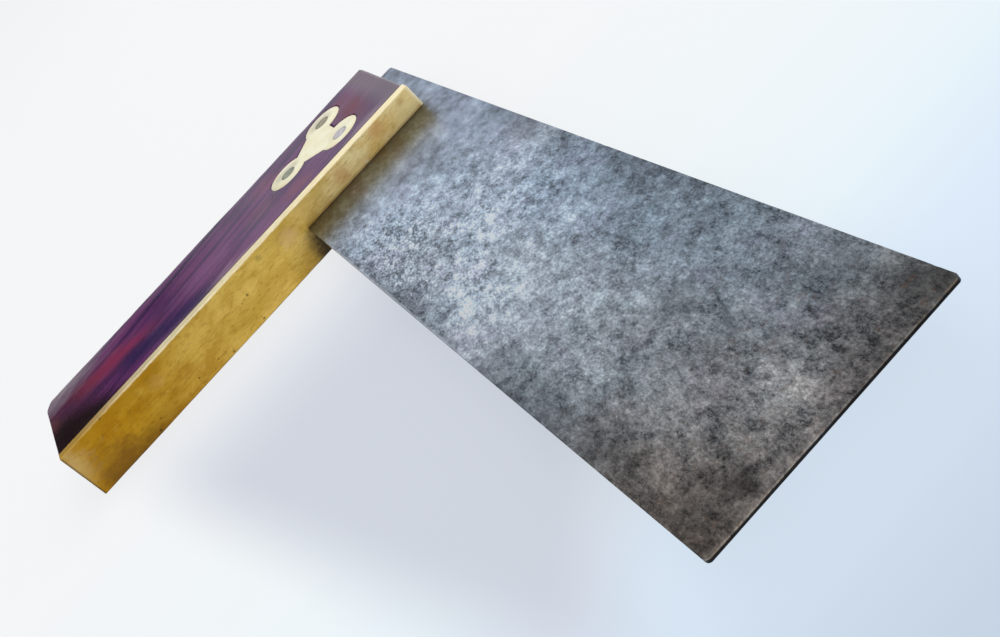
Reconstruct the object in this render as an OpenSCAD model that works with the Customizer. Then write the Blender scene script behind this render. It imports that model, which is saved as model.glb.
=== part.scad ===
// Try square: a hardwood stock faced with brass, and a steel blade let into the stock's head.
// The blade is held by three rivets that pass through a three-lobed escutcheon on each side.
//
// X runs along the blade, Y along the stock towards its head, and Z through the stock's thickness.
// The origin is the inside corner: X = 0 is the brass facing, Y = 0 the blade's inner edge, and
// Z = 0 the middle of the stock's thickness. The square lies on its back side, front side up.

/* [Stock] */
// Length of the stock, from head to foot
stock_len = 141; // [110:1:230]
// Width of the stock, from the back edge to the face of the brass
stock_w = 50; // [40:1:70]
// Thickness of the stock
stock_t = 16.8; // [14:0.2:26]
// Radius of the two long back edges, rounded to the hand
back_edge_r = 5.5; // [1:0.5:6.5]
// Radius of the back corner at the foot, seen from the front
foot_corner_r = 12; // [2:0.5:16]
// Radius of the back corner at the head, seen from the front
head_corner_r = 8; // [2:0.5:12]
// Radius that eases the edges round the foot
foot_edge_r = 0.4; // [0.3:0.1:3]
// Radius that eases the edges round the head, which is more worn
head_edge_r = 1.5; // [0.3:0.1:3]

/* [Brass facing] */
// Thickness of the facing plate
facing_t = 3.5; // [2:0.1:5]
// Radius to which the facing's outer edges are worn
facing_edge_r = 0.4; // [0.2:0.1:1]

/* [Blade] */
// Reach of the blade beyond the facing
blade_reach = 228.6; // [150:0.1:310]
// Width of the blade
blade_w = 55; // [45:1:75]
// Thickness of the blade
blade_t = 0.95; // [0.7:0.05:1.6]
// How far the blade's outer edge stands past the stock's head
blade_proud = 7; // [3:0.5:10]
// How far the blade lies in front of the middle of the stock
blade_forward = 0.5; // [-1.5:0.1:1.5]
// Wood left behind the blade's tail
back_web = 2; // [1:0.5:10]
// Radius of the free end's corners
blade_corner_r = 1.2; // [0.3:0.1:4]
// Radius of the tail's corners
tail_corner_r = 1.5; // [0.5:0.1:4]
// Chamfer along the free end's two sharp edges
end_chamfer = 0.1; // [0.1:0.05:0.3]

/* [Escutcheons] */
// Thickness of each escutcheon
escutcheon_t = 1.5; // [1:0.1:2.5]
// Radius of each lobe
lobe_r = 6.8; // [5:0.1:8.5]
// Distance from the head to the two upper lobes
head_margin = 14.6; // [8:0.1:16]
// Distance from the lower lobe to the blade's inner edge
foot_margin = 1.4; // [0:0.1:4]
// Wood between the facing and the lobe nearest to it
front_margin = 6; // [3:0.1:8]
// Distance from the back edge to the lobe nearest to it
back_margin = 7.8; // [7:0.1:9]
// How far the web runs on, to each side, past the centres of the upper lobes
web_overrun = 2.9; // [1:0.1:4]
// How far the web's upper edge lies above the centres of the upper lobes
web_rise = 0.5; // [0:0.1:2]
// How far below the centres of the upper lobes the web has its full width
web_shoulder = 4.1; // [2:0.1:5]
// How far the web's point stops short of the lower lobe's centre
web_short = 1.3; // [0:0.1:4]

/* [Rivets] */
// Diameter of the rivets' shanks
rivet_d = 4; // [3:0.1:5]
// Diameter of the rivets' flush ends
rivet_end_d = 5.2; // [5.2:0.1:6.5]
// How far the upper rivets stand outside the centres of their lobes
rivet_outset = 0.65; // [0:0.05:1.5]

/* [Facing fasteners] */
// Number of screws below the blade
screw_count = 3; // [2:1:4]
// Diameter of the screws' shanks
screw_d = 3.4; // [2.5:0.1:4]
// Diameter of the screws' countersunk heads
screw_head_d = 6.4; // [5:0.1:7.5]
// Length of the screws, head and point included
screw_len = 19; // [14:1:28]
// Length of the screws' tapered points
screw_point = 4; // [2:0.5:6]
// Distance from the blade's inner edge to the first screw
screw_first = 11; // [7:0.5:16]
// Distance from the foot to the last screw
screw_last = 11; // [7:0.5:16]
// Diameter of the two pins beside the blade
pin_d = 2.4; // [1.6:0.1:3]
// Length of the pins
pin_len = 15; // [10:1:24]
// Distance from the head to the pins
pin_in = 7; // [4:0.5:10]

/* [Fit] */
// Clearance round the blade, the inlays and the fasteners
fit_gap = 0.05; // [0.02:0.01:0.1]

/* [Hidden] */
$fn = 96;
RIVET_NAMES = ["upper_back_rivet", "upper_face_rivet", "lower_rivet"];
SCREW_NAMES = [for (i = [1 : screw_count]) str("facing_screw_", i)];
PIN_NAMES = ["front_facing_pin", "back_facing_pin"];

// Colours as the object shows them
WOOD = [0.33, 0.12, 0.20];
BRASS = [0.72, 0.58, 0.28];
STEEL = [0.45, 0.49, 0.54];
RIVET_STEEL = [0.42, 0.41, 0.38];

// Levels along Y and Z
head_y = blade_w - blade_proud;
foot_y = head_y - stock_len;
front_z = stock_t / 2;

// The wood's own width, and the blade's tail in it
wood_w = stock_w - facing_t;
tail_x = back_web - stock_w;

// The facing's corners and end edges are worn alike at the foot and the head
facing_edges = [facing_edge_r, facing_edge_r];

// Centres of the lobes, and of the rivets in them
lobe_spread = wood_w - front_margin - back_margin - 2 * lobe_r;
upper_y = head_y - head_margin - lobe_r;
lower_y = foot_margin + lobe_r;
axis_x = -facing_t - front_margin - lobe_r - lobe_spread / 2;
rivet_reach = lobe_spread / 2 + rivet_outset;
RIVETS = [[axis_x - rivet_reach, upper_y], [axis_x + rivet_reach, upper_y], [axis_x, lower_y]];

// Screws stand in the middle of the facing, and pins in the middle of each strip beside the blade
screw_step = (stock_len - head_y - screw_first - screw_last) / (screw_count - 1);
strip_front = blade_forward + blade_t / 2;
strip_back = blade_forward - blade_t / 2;
PINS = [(front_z + strip_front) / 2, (strip_back - front_z) / 2];

// Length that a cutter runs on past the surface it opens
PAST = 1;

// Flat outline of a rectangle from [x0, y0] to [x1, y1], its left corners rounded to r0 and its right to r1
module rounded_outline(x0, y0, x1, y1, r0, r1) {
    translate([x0 + r0, y0]) square([x1 - x0 - r0 - r1, y1 - y0]);
    if (r0 > 0) rounded_side(x0 + r0, x0, y0, y1, r0);
    if (r1 > 0) rounded_side(x1 - r1, x1 - r1, y0, y1, r1);
}

// Strip as wide as the radius that makes one rounded side, with the corners' centres at x
module rounded_side(x, strip_x, y0, y1, r) {
    translate([strip_x, y0 + r]) square([r, y1 - y0 - 2 * r]);
    for (y = [y0 + r, y1 - r]) translate([x, y]) circle(r);
}

// Runs a flat outline along X, Y or Z. The first keeps Y and Z of the outline, the second X and Z.
module along_x(x0, x1) translate([x0, 0, 0]) rotate([90, 0, 90]) linear_extrude(x1 - x0) children();
module along_y(y0, y1) translate([0, y1, 0]) rotate([90, 0, 0]) linear_extrude(y1 - y0) children();
module along_z(z0, z1) translate([0, 0, z0]) linear_extrude(z1 - z0) children();

// Block from x0 to x1, as long and thick as the stock, rounded on its side at x0. The section has one
// radius. The plan's corners and the edges round the ends have one for the foot and one for the head.
module eased_block(x0, x1, section_r, corner_r, end_r) {
    intersection() {
        along_y(foot_y, head_y) rounded_outline(x0, -front_z, x1, front_z, section_r, 0);
        along_z(-front_z, front_z) rotate(90)
            rounded_outline(foot_y, -x1 - max(corner_r), head_y, -x0, corner_r[0], corner_r[1]);
        along_x(x0, x1) rounded_outline(foot_y, -front_z, head_y, front_z, end_r[0], end_r[1]);
    }
}

// The blade's slot in the stock and the facing, open at the head
module blade_slot() {
    translate([tail_x - fit_gap, -fit_gap, strip_back - fit_gap])
        cube([PAST - tail_x + fit_gap, head_y + PAST + fit_gap, blade_t + 2 * fit_gap]);
}

// Outline of an escutcheon, three lobes on a web that comes to a point, grown all round by g
module escutcheon_outline(g = 0) {
    half = lobe_spread / 2 + web_overrun;
    point_y = lower_y + web_short;
    shoulder_y = upper_y - web_shoulder;
    lean = atan(half / (shoulder_y - point_y));
    side = half + g;
    low_y = shoulder_y - g * tan(lean / 2);
    top_y = upper_y + web_rise + g;
    for (x = [-1, 1]) translate([axis_x + x * lobe_spread / 2, upper_y]) circle(lobe_r + g);
    translate([axis_x, lower_y]) circle(lobe_r + g);
    translate([axis_x, 0]) polygon([
        [0, point_y - g / sin(lean)], [side, low_y], [side, top_y], [-side, top_y], [-side, low_y]
    ]);
}

// A rivet from side to side, its shank flared to a flush end in each escutcheon, grown all round by g
module rivet_form(g = 0) {
    r = rivet_d / 2 + g;
    cylinder(h = stock_t, r = r, center = true);
    for (side = [0, 180]) rotate([side, 0, 0])
        translate([0, 0, front_z - escutcheon_t])
            cylinder(h = escutcheon_t, r1 = r, r2 = rivet_end_d / 2 + g);
}

module at_rivet(i) translate([RIVETS[i][0], RIVETS[i][1], 0]) children();

// A countersunk screw along -X, its head flush with the facing, grown all round by g
module screw_form(g = 0) {
    head_h = (screw_head_d - screw_d) / 2;
    rotate([0, -90, 0]) {
        cylinder(h = head_h, r1 = screw_head_d / 2 + g, r2 = screw_d / 2 + g);
        cylinder(h = screw_len - screw_point, r = screw_d / 2 + g);
        translate([0, 0, screw_len - screw_point])
            cylinder(h = screw_point, r1 = screw_d / 2 + g, r2 = screw_d / 8 + g);
    }
}

module at_screw(i) translate([0, -screw_first - i * screw_step, 0]) children();

// A plain pin along -X, its end flush with the facing, grown all round by g
module pin_form(g = 0) rotate([0, -90, 0]) cylinder(h = pin_len + g, r = pin_d / 2 + g);

module at_pin(i) translate([0, head_y - pin_in, PINS[i]]) children();

module all_rivet_holes() for (i = [0 : 2]) at_rivet(i) rivet_form(fit_gap);

module all_facing_holes() {
    for (i = [0 : screw_count - 1]) at_screw(i) screw_form(fit_gap);
    for (i = [0 : 1]) at_pin(i) pin_form(fit_gap);
}

// Wooden stock, sawn for the blade and let in for the escutcheons
module stock() color(WOOD) difference() {
    eased_block(-stock_w, -facing_t, back_edge_r, [foot_corner_r, head_corner_r], [foot_edge_r, head_edge_r]);
    blade_slot();
    along_z(front_z - escutcheon_t, front_z + PAST) escutcheon_outline(fit_gap);
    along_z(-front_z - PAST, escutcheon_t - front_z) escutcheon_outline(fit_gap);
    all_rivet_holes();
    all_facing_holes();
}

// Brass plate over the stock's working edge, sawn to straddle the blade
module facing_plate() color(BRASS) difference() {
    mirror([1, 0, 0]) eased_block(0, facing_t, facing_edge_r, facing_edges, facing_edges);
    blade_slot();
    all_facing_holes();
}

// Steel blade with its three rivet holes. Its free end is chamfered on both sides.
module blade() color(STEEL) difference() {
    intersection() {
        along_z(strip_back, strip_front)
            rounded_outline(tail_x, 0, blade_reach, blade_w, tail_corner_r, blade_corner_r);
        along_y(0, blade_w) polygon([
            [tail_x, strip_back], [blade_reach - end_chamfer, strip_back],
            [blade_reach, strip_back + end_chamfer], [blade_reach, strip_front - end_chamfer],
            [blade_reach - end_chamfer, strip_front], [tail_x, strip_front]
        ]);
    }
    all_rivet_holes();
}

// One escutcheon, drawn for the front and turned over for the back
module escutcheon() color(BRASS) difference() {
    along_z(front_z - escutcheon_t, front_z) escutcheon_outline();
    all_rivet_holes();
}

module rivet(i) color(RIVET_STEEL) at_rivet(i) rivet_form();

module facing_screw(i) color(BRASS) at_screw(i) screw_form();

module facing_pin(i) color(BRASS) at_pin(i) pin_form();

stock();
facing_plate();
blade();
escutcheon();  // front_escutcheon
mirror([0, 0, 1]) escutcheon();  // back_escutcheon
for (i = [0 : 2]) rivet(i);
for (i = [0 : screw_count - 1]) facing_screw(i);
for (i = [0 : 1]) facing_pin(i);
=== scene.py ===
import math

import bmesh
import bpy
import numpy as np
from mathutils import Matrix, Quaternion, Vector


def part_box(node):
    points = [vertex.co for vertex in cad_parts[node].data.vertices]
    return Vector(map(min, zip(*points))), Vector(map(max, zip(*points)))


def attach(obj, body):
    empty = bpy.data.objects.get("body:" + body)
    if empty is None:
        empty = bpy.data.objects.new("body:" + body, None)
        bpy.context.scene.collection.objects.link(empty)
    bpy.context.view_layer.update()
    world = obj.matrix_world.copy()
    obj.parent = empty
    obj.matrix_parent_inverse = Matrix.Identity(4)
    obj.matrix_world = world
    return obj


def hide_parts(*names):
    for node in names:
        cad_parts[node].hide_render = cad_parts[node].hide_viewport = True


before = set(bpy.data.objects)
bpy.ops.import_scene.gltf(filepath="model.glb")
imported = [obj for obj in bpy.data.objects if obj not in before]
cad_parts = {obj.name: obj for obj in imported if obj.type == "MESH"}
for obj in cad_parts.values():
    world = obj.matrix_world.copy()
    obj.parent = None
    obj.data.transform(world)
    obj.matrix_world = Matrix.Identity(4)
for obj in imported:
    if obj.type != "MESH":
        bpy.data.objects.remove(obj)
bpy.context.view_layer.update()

# The scene is written in millimetres, and MM turns them into Blender's metres
MM = 0.001

# Clearance round whatever passes through a piece or is let into it, and round fasteners filed flush
GAP = 0.05
FLUSH_GAP = 0.012

# Stock: its rounded back edges and back corners, the edges round its ends, and its edges at the brass
BACK_EDGE = 5.5
FOOT_CORNER = 12.0
HEAD_CORNER = 8.0
FOOT_EDGE = 0.4
HEAD_EDGE = 1.5
FRONT_EDGE = 0.2

# Facing: its worn outer arrises, and how far the wear varies along them
ARRIS = 0.4
ARRIS_VARIES = 0.15

# Blade: its corners, the chamfer of its free end, and its softened long edges
BLADE_CORNER = 1.2
TAIL_CORNER = 1.5
END_CHAMFER = 0.1
BLADE_EDGE = 0.1

# Inlays: softened edge, lobe radius, how far the upper rivets stand outside the lobes' centres, and the web's
# half width, its upper edge above the upper rivets, its point above the lower rivet and the lean of its sides
INLAY_EDGE = 0.05
LOBE = 6.8
RIVET_OUTSET = 0.65
WEB_HALF = 12.45
WEB_RISE = 0.5
WEB_SHORT = 1.3
WEB_LEAN = 43.8

# Rivets: shank, the depth of the flare, and of the dished ends
RIVET_SHANK = 4.0
RIVET_FLARE = 1.5
RIVET_DISH = 0.07

# Camera: where it stands, the point on the blade's middle plane that it looks at, its roll and lens
CAMERA_AT = (394.03, -5.72, 132.46)
CAMERA_LOOKS_AT = (126.15, 11.13, 0.0)
CAMERA_ROLL = 46.132
CAMERA_LENS = 52.779
SENSOR_WIDTH = 36.0

# Lamps: name, where it stands, the point that it faces, the length of its side, and its power in watts
LAMPS = (
    ("key", (-500, 500, 800), (60, 0, 0), 900, 4.5),
    ("fill", (900, -200, 500), (0, 0, 0), 700, 3.0),
)

random = np.random.default_rng(27)


def node_box(node):
    """Lowest and highest corner of a CAD node in millimetres."""
    low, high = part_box(node)
    return np.array(low) / MM, np.array(high) / MM


SCREWS = [f"facing_screw_{i}" for i in (1, 2, 3)]
PINS = ["front_facing_pin", "back_facing_pin"]
RIVETS = ["upper_back_rivet", "upper_face_rivet", "lower_rivet"]
ESCUTCHEONS = ["front_escutcheon", "back_escutcheon"]

STOCK_LOW, STOCK_HIGH = node_box("stock")
FACING_LOW, FACING_HIGH = node_box("facing_plate")
BLADE_LOW, BLADE_HIGH = node_box("blade")
FOOT_Y, HEAD_Y = STOCK_LOW[1], STOCK_HIGH[1]
FRONT_Z = STOCK_HIGH[2]
RIVET_CENTRES = [sum(node_box(node)) / 2 for node in RIVETS]


# Forms


def levels(start, end, step, from_start=(), from_end=()):
    """Grid levels from start to end about step apart, with closer ones at these distances from each end."""
    first = start + max(from_start, default=0)
    last = end - max(from_end, default=0)
    count = max(1, round((last - first) / step))
    close = [start + d for d in (0, *from_start)] + [end - d for d in (0, *from_end)]
    return np.unique(np.round(np.concatenate([np.linspace(first, last, count + 1), close]), 6))


def box_grid(xs, ys, zs):
    """Points and four-sided faces of a closed box whose six sides are grids at these levels."""
    shape = (len(xs), len(ys), len(zs))
    outside = np.zeros(shape, bool)
    outside[[0, -1]] = outside[:, [0, -1]] = outside[:, :, [0, -1]] = True
    number = np.full(shape, -1)
    number[outside] = np.arange(outside.sum())
    points = np.stack([g[outside] for g in np.meshgrid(xs, ys, zs, indexing="ij")], axis=1)
    faces = []
    for side, turned in (
        (number[0], True), (number[-1], False), (number[:, 0], False),
        (number[:, -1], True), (number[:, :, 0], True), (number[:, :, -1], False),
    ):
        quads = np.stack([side[:-1, :-1], side[1:, :-1], side[1:, 1:], side[:-1, 1:]], axis=-1)
        quads = quads.reshape(-1, 4)
        faces.append(quads[:, ::-1] if turned else quads)
    return points, np.concatenate(faces)


def rounded_rectangle(u, v, low, high, radius):
    """Distance in a plane to a rectangle with round corners, below 0 inside. The radius may vary."""
    a = np.abs(u - (low[0] + high[0]) / 2) - (high[0] - low[0]) / 2 + radius
    b = np.abs(v - (low[1] + high[1]) / 2) - (high[1] - low[1]) / 2 + radius
    return np.hypot(np.maximum(a, 0), np.maximum(b, 0)) + np.minimum(np.maximum(a, b), 0) - radius


def settle(points, shape, rounds=8):
    """Moves points along the shape's slope until they lie on its surface, where shape(points) is 0."""
    reach = 0.01
    for _ in range(rounds):
        value = shape(points)
        steps = np.eye(3) * reach
        slope = np.stack([(shape(points + s) - shape(points - s)) / (2 * reach) for s in steps], axis=1)
        points = points - (value / np.maximum((slope**2).sum(1), 0.3))[:, None] * slope
    return points


def wander(along, seed, longest=60.0):
    """A smooth wavering value between about -1 and 1 along a length in millimetres."""
    draw = np.random.default_rng(seed)
    total = np.zeros_like(along)
    for octave in range(5):
        wave = longest / 1.9**octave
        total += np.sin(2 * math.pi * (along / wave + draw.random())) / (1.4 + octave)
    return total / 1.6


def dent(points, centres, radii):
    """Pushes in whatever lies inside these balls, which leaves hollows where they cut the surface."""
    for centre, radius in zip(centres, radii):
        away = points - centre
        distance = np.linalg.norm(away, axis=1)
        inside = distance < radius
        points[inside] = centre + away[inside] / np.maximum(distance[inside], 1e-6)[:, None] * radius
    return points


def nicks(count, start, end, place, largest):
    """Centres and radii of small balls along an edge. place(along, stand) is a point stand off the edge."""
    centres, radii = [], []
    for _ in range(count):
        along = random.uniform(start, end)
        radius = largest * (0.35 + 0.65 * random.random() ** 2)
        centres.append(place(along, radius * random.uniform(0.55, 0.85)))
        radii.append(radius)
    return np.array(centres), np.array(radii)


def add_piece(name, mesh, nodes):
    """Puts a mesh in the scene for the CAD nodes that it stands for, and hides those nodes."""
    piece = bpy.data.objects.new(name, mesh)
    bpy.context.scene.collection.objects.link(piece)
    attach(piece, "root")
    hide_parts(*nodes)
    return piece


def mesh_of(name, points, faces):
    """A mesh from points in millimetres."""
    mesh = bpy.data.meshes.new(name)
    mesh.from_pydata((np.asarray(points) * MM).tolist(), [], [list(face) for face in faces])
    mesh.validate()
    return mesh


def merged_copy(node):
    """A CAD node's mesh as a bmesh, with its doubled points merged."""
    form = bmesh.new()
    form.from_mesh(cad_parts[node].data)
    bmesh.ops.remove_doubles(form, verts=form.verts, dist=0.0005 * MM)
    bmesh.ops.recalc_face_normals(form, faces=form.faces)
    return form


def grown_copy(node, gap):
    """An object in a CAD node's shape, grown all round by gap, which cuts the node's seat in a neighbour."""
    form = merged_copy(node)
    form.normal_update()
    offsets = [vert.normal * gap * MM * vert.calc_shell_factor() for vert in form.verts]
    for vert, offset in zip(form.verts, offsets):
        vert.co += offset
    mesh = bpy.data.meshes.new("cutter")
    form.to_mesh(mesh)
    form.free()
    cutter = bpy.data.objects.new("cutter", mesh)
    bpy.context.scene.collection.objects.link(cutter)
    return cutter


def cut_seats(piece, nodes, gap):
    """Cuts into a piece the seats of the CAD nodes that pass through it or are let into it."""
    cutters = [grown_copy(node, gap) for node in nodes]
    for cutter in cutters:
        cut = piece.modifiers.new("seat", "BOOLEAN")
        cut.operation = "DIFFERENCE"
        cut.solver = "MANIFOLD"
        cut.object = cutter
    result = bpy.data.meshes.new_from_object(piece.evaluated_get(bpy.context.evaluated_depsgraph_get()))
    piece.modifiers.clear()
    piece.data = result
    for cutter in cutters:
        bpy.data.objects.remove(cutter)


def smooth(piece, angle=30):
    """Smooth shading, with creases kept where faces meet at more than the angle."""
    piece.data.shade_smooth()
    piece.data.set_sharp_from_angle(angle=math.radians(angle))


def build_stock():
    """The handle, its back edges rounded by the hand, with every seat cut in it."""
    close = (0.25, 0.5, 0.8, 1.2, 1.7, 2.3, 3.0, 4.0)
    points, faces = box_grid(
        levels(STOCK_LOW[0], STOCK_HIGH[0], 1.0, close, (0.1, 0.2, 0.4)),
        levels(FOOT_Y, HEAD_Y, 1.0, close, close),
        levels(STOCK_LOW[2], STOCK_HIGH[2], 0.8, close, close),
    )
    middle = (STOCK_LOW + STOCK_HIGH) / 2

    def shape(p):
        x, y, z = p.T
        back = x < middle[0]
        edge = np.where(back, BACK_EDGE + 0.35 * wander(y + 20 * np.sign(z), 5), FRONT_EDGE)
        corner = np.where(back, np.where(y < middle[1], FOOT_CORNER, HEAD_CORNER), 0)
        end = np.where(y < middle[1], FOOT_EDGE, HEAD_EDGE) * (1 + 0.15 * wander(x, 8, 30))
        section = rounded_rectangle(x, z, STOCK_LOW[[0, 2]], STOCK_HIGH[[0, 2]], edge)
        plan = rounded_rectangle(x, y, STOCK_LOW[:2], STOCK_HIGH[:2], corner)
        ends = rounded_rectangle(y, z, STOCK_LOW[1:], STOCK_HIGH[1:], end)
        return np.maximum(np.maximum(section, plan), ends)

    points = settle(points, shape)
    stock = add_piece("stock_body", mesh_of("stock_body", points, faces), ["stock"])
    cut_seats(stock, ["blade", *RIVETS], GAP)
    cut_seats(stock, ESCUTCHEONS, GAP)
    cut_seats(stock, [*SCREWS, *PINS], GAP)
    smooth(stock)
    return stock


def build_facing():
    """The brass plate, with worn arrises, small nicks along the far one, and the slot and seats cut in it."""
    close = (0.08, 0.17, 0.27, 0.4, 0.55, 0.75, 1.0, 1.3)
    points, faces = box_grid(
        levels(FACING_LOW[0], FACING_HIGH[0], 0.6, (), close),
        levels(FOOT_Y, HEAD_Y, 0.45, close, close),
        levels(FACING_LOW[2], FACING_HIGH[2], 0.7, close, close),
    )
    middle = (FACING_LOW[0] + FACING_HIGH[0]) / 2

    def shape(p):
        x, y, z = p.T
        worn = ARRIS + ARRIS_VARIES * wander(y + 35 * np.sign(z), 3, 45)
        arris = np.where(x > middle, worn, 0)
        section = rounded_rectangle(x, z, FACING_LOW[[0, 2]], FACING_HIGH[[0, 2]], arris)
        plan = rounded_rectangle(x, y, FACING_LOW[:2], FACING_HIGH[:2], arris)
        ends = rounded_rectangle(y, z, FACING_LOW[1:], FACING_HIGH[1:], ARRIS)
        return np.maximum(np.maximum(section, plan), ends)

    points = settle(points, shape)
    for side, count in ((-1, 34), (1, 12)):
        def off_arris(along, stand):
            return (stand * 0.7, along, side * (FRONT_Z + stand * 0.7))

        points = dent(points, *nicks(count, FOOT_Y + 2, HEAD_Y - 2, off_arris, 0.75))
    facing = add_piece("facing_body", mesh_of("facing_body", points, faces), ["facing_plate"])
    cut_seats(facing, ["blade"], GAP)
    cut_seats(facing, [*SCREWS, *PINS], FLUSH_GAP)
    smooth(facing)
    return facing


def build_blade():
    """The blade, chamfered at its free end, with softened, slightly nicked edges and its rivet holes."""
    close = (0.05, 0.1, 0.16, 0.24, 0.36, 0.55, 0.8, 1.2)
    points, faces = box_grid(
        levels(BLADE_LOW[0], BLADE_HIGH[0], 0.9, close, close),
        levels(BLADE_LOW[1], BLADE_HIGH[1], 0.9, close, close),
        levels(BLADE_LOW[2], BLADE_HIGH[2], 0.2, (0.05, 0.1), (0.05, 0.1)),
    )
    middle = (BLADE_LOW + BLADE_HIGH) / 2
    half_thick = (BLADE_HIGH[2] - BLADE_LOW[2]) / 2

    def shape(p):
        x, y, z = p.T
        corner = np.where(x < middle[0], TAIL_CORNER, BLADE_CORNER)
        edge = BLADE_EDGE * (1 + 0.25 * wander(x, 12, 25))
        plan = rounded_rectangle(x, y, BLADE_LOW[:2], BLADE_HIGH[:2], corner)
        section = rounded_rectangle(y, z, BLADE_LOW[1:], BLADE_HIGH[1:], edge)
        chamfer = END_CHAMFER * (1 + 0.15 * wander(y, 14, 20))
        slope = (x - BLADE_HIGH[0] + np.abs(z - middle[2]) - half_thick + chamfer) / math.sqrt(2)
        return np.maximum(np.maximum(plan, section), slope)

    points = settle(points, shape)
    for edge_y, out, count in ((BLADE_LOW[1], -1, 16), (BLADE_HIGH[1], 1, 10)):
        def off_edge(along, stand):
            return (along, edge_y + out * stand, BLADE_HIGH[2])

        points = dent(points, *nicks(count, 5, BLADE_HIGH[0] - 3, off_edge, 0.6))
    blade = add_piece("blade_body", mesh_of("blade_body", points, faces), ["blade"])
    cut_seats(blade, RIVETS, GAP)
    smooth(blade)
    return blade


def build_escutcheon(node):
    """An inlay in the CAD node's shape, with its outline rubbed soft."""
    form = merged_copy(node)
    bmesh.ops.dissolve_limit(form, angle_limit=math.radians(1), verts=form.verts, edges=form.edges)

    def on_outline(edge):
        at = (edge.verts[0].co + edge.verts[1].co) / 2 / MM
        beside_rivet = any(math.hypot(at.x - c[0], at.y - c[1]) < RIVET_SHANK for c in RIVET_CENTRES)
        return len(edge.link_faces) == 2 and edge.calc_face_angle() > math.radians(30) and not beside_rivet

    outline = [edge for edge in form.edges if on_outline(edge)]
    bmesh.ops.bevel(
        form, geom=outline, offset=INLAY_EDGE * MM, segments=3, profile=0.5, affect="EDGES",
        clamp_overlap=True,
    )
    mesh = bpy.data.meshes.new(node + "_inlay")
    form.to_mesh(mesh)
    form.free()
    piece = add_piece(node + "_inlay", mesh, [node])
    smooth(piece)
    return piece


def turned(profile, centre, sides=64):
    """Points and faces of a form turned about an upright axis. The profile's points are (radius, height)."""
    turn = np.arange(sides) * 2 * math.pi / sides
    points = [(centre[0] + r * math.cos(a), centre[1] + r * math.sin(a), z) for r, z in profile for a in turn]
    faces = []
    for ring in range(len(profile) - 1):
        for side in range(sides):
            a, b = ring * sides + side, ring * sides + (side + 1) % sides
            faces.append([a, a + sides, b + sides, b])
    last = (len(profile) - 1) * sides
    faces.append(list(range(sides)))
    faces.append([last + side for side in reversed(range(sides))])
    return points, faces


def build_rivet(node, centre):
    """A rivet turned about its own axis, its shank flared to a slightly dished end on each side."""
    low, high = node_box(node)
    end = (high[0] - low[0]) / 2
    shank = RIVET_SHANK / 2
    dish = [(r, FRONT_Z - RIVET_DISH * (1 - (r / end) ** 2)) for r in np.linspace(0.25, end - 0.12, 9)]
    rim = [(end - 0.05, FRONT_Z - 0.02), (end, FRONT_Z - 0.09)]
    flare = [(end + (shank - end) * t, FRONT_Z - 0.09 - (RIVET_FLARE - 0.09) * t) for t in (0.5, 1)]
    upper = dish + rim + flare
    profile = upper + [(r, -z) for r, z in reversed(upper)]
    name = node + "_filed"
    piece = add_piece(name, mesh_of(name, *turned(profile, centre)), [node])
    smooth(piece)
    return piece


# Materials


def colour(red, green, blue):
    """A colour from its screen values, 0 to 255, as the shader's linear ones."""
    shares = (red / 255, green / 255, blue / 255)
    return tuple(c / 12.92 if c <= 0.04045 else ((c + 0.055) / 1.055) ** 2.4 for c in shares) + (1.0,)


class Nodes:
    """Adds shader nodes to a tree. Its methods return the output that holds the result."""

    def __init__(self, tree):
        self.tree = tree

    def feed(self, socket, value):
        """Links an output to a socket, or sets the socket to a plain value."""
        if isinstance(value, bpy.types.NodeSocket):
            self.tree.links.new(value, socket)
        else:
            socket.default_value = value

    def vector(self, operation, first, second=None, scale=None):
        node = self.tree.nodes.new("ShaderNodeVectorMath")
        node.operation = operation
        self.feed(node.inputs[0], first)
        if second is not None:
            self.feed(node.inputs[1], second)
        if scale is not None:
            self.feed(node.inputs["Scale"], scale)
        return node.outputs["Value" if operation in ("LENGTH", "DOT_PRODUCT", "DISTANCE") else "Vector"]

    def math(self, operation, first, second=0.0):
        node = self.tree.nodes.new("ShaderNodeMath")
        node.operation = operation
        self.feed(node.inputs[0], first)
        self.feed(node.inputs[1], second)
        return node.outputs[0]

    def times(self, *values):
        """Product of two or more values."""
        result = values[0]
        for value in values[1:]:
            result = self.math("MULTIPLY", result, value)
        return result

    def total(self, *shares):
        """Sum of (value, weight) pairs."""
        result = None
        for value, weight in shares:
            part = self.math("MULTIPLY", value, weight)
            result = part if result is None else self.math("ADD", result, part)
        return result

    def span(self, value, start, end, low=0.0, high=1.0):
        """low where value is at start, high where it is at end, and a smooth step between."""
        node = self.tree.nodes.new("ShaderNodeMapRange")
        node.interpolation_type = "SMOOTHSTEP"
        for socket, given in zip(node.inputs, (value, start, end, low, high)):
            self.feed(socket, given)
        return node.outputs[0]

    def mix(self, share, first, second, kind="MIX"):
        """The first colour where share is 0, and the second, or their blend of this kind, where it is 1."""
        node = self.tree.nodes.new("ShaderNodeMix")
        node.data_type = "RGBA"
        node.blend_type = kind
        self.feed(node.inputs["Factor"], share)
        self.feed(node.inputs[6], first)
        self.feed(node.inputs[7], second)
        return node.outputs[2]

    def ramp(self, value, stops):
        """Colour along value, from (place, colour) stops."""
        node = self.tree.nodes.new("ShaderNodeValToRGB")
        bar = node.color_ramp.elements
        while len(bar) < len(stops):
            bar.new(0.5)
        for element, (at, shade) in zip(bar, stops):
            element.position = at
            element.color = shade
        self.feed(node.inputs[0], value)
        return node.outputs[0]


# Radius of a blob along an axis that it doesn't depend on
ANYWHERE = 1e4


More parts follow.
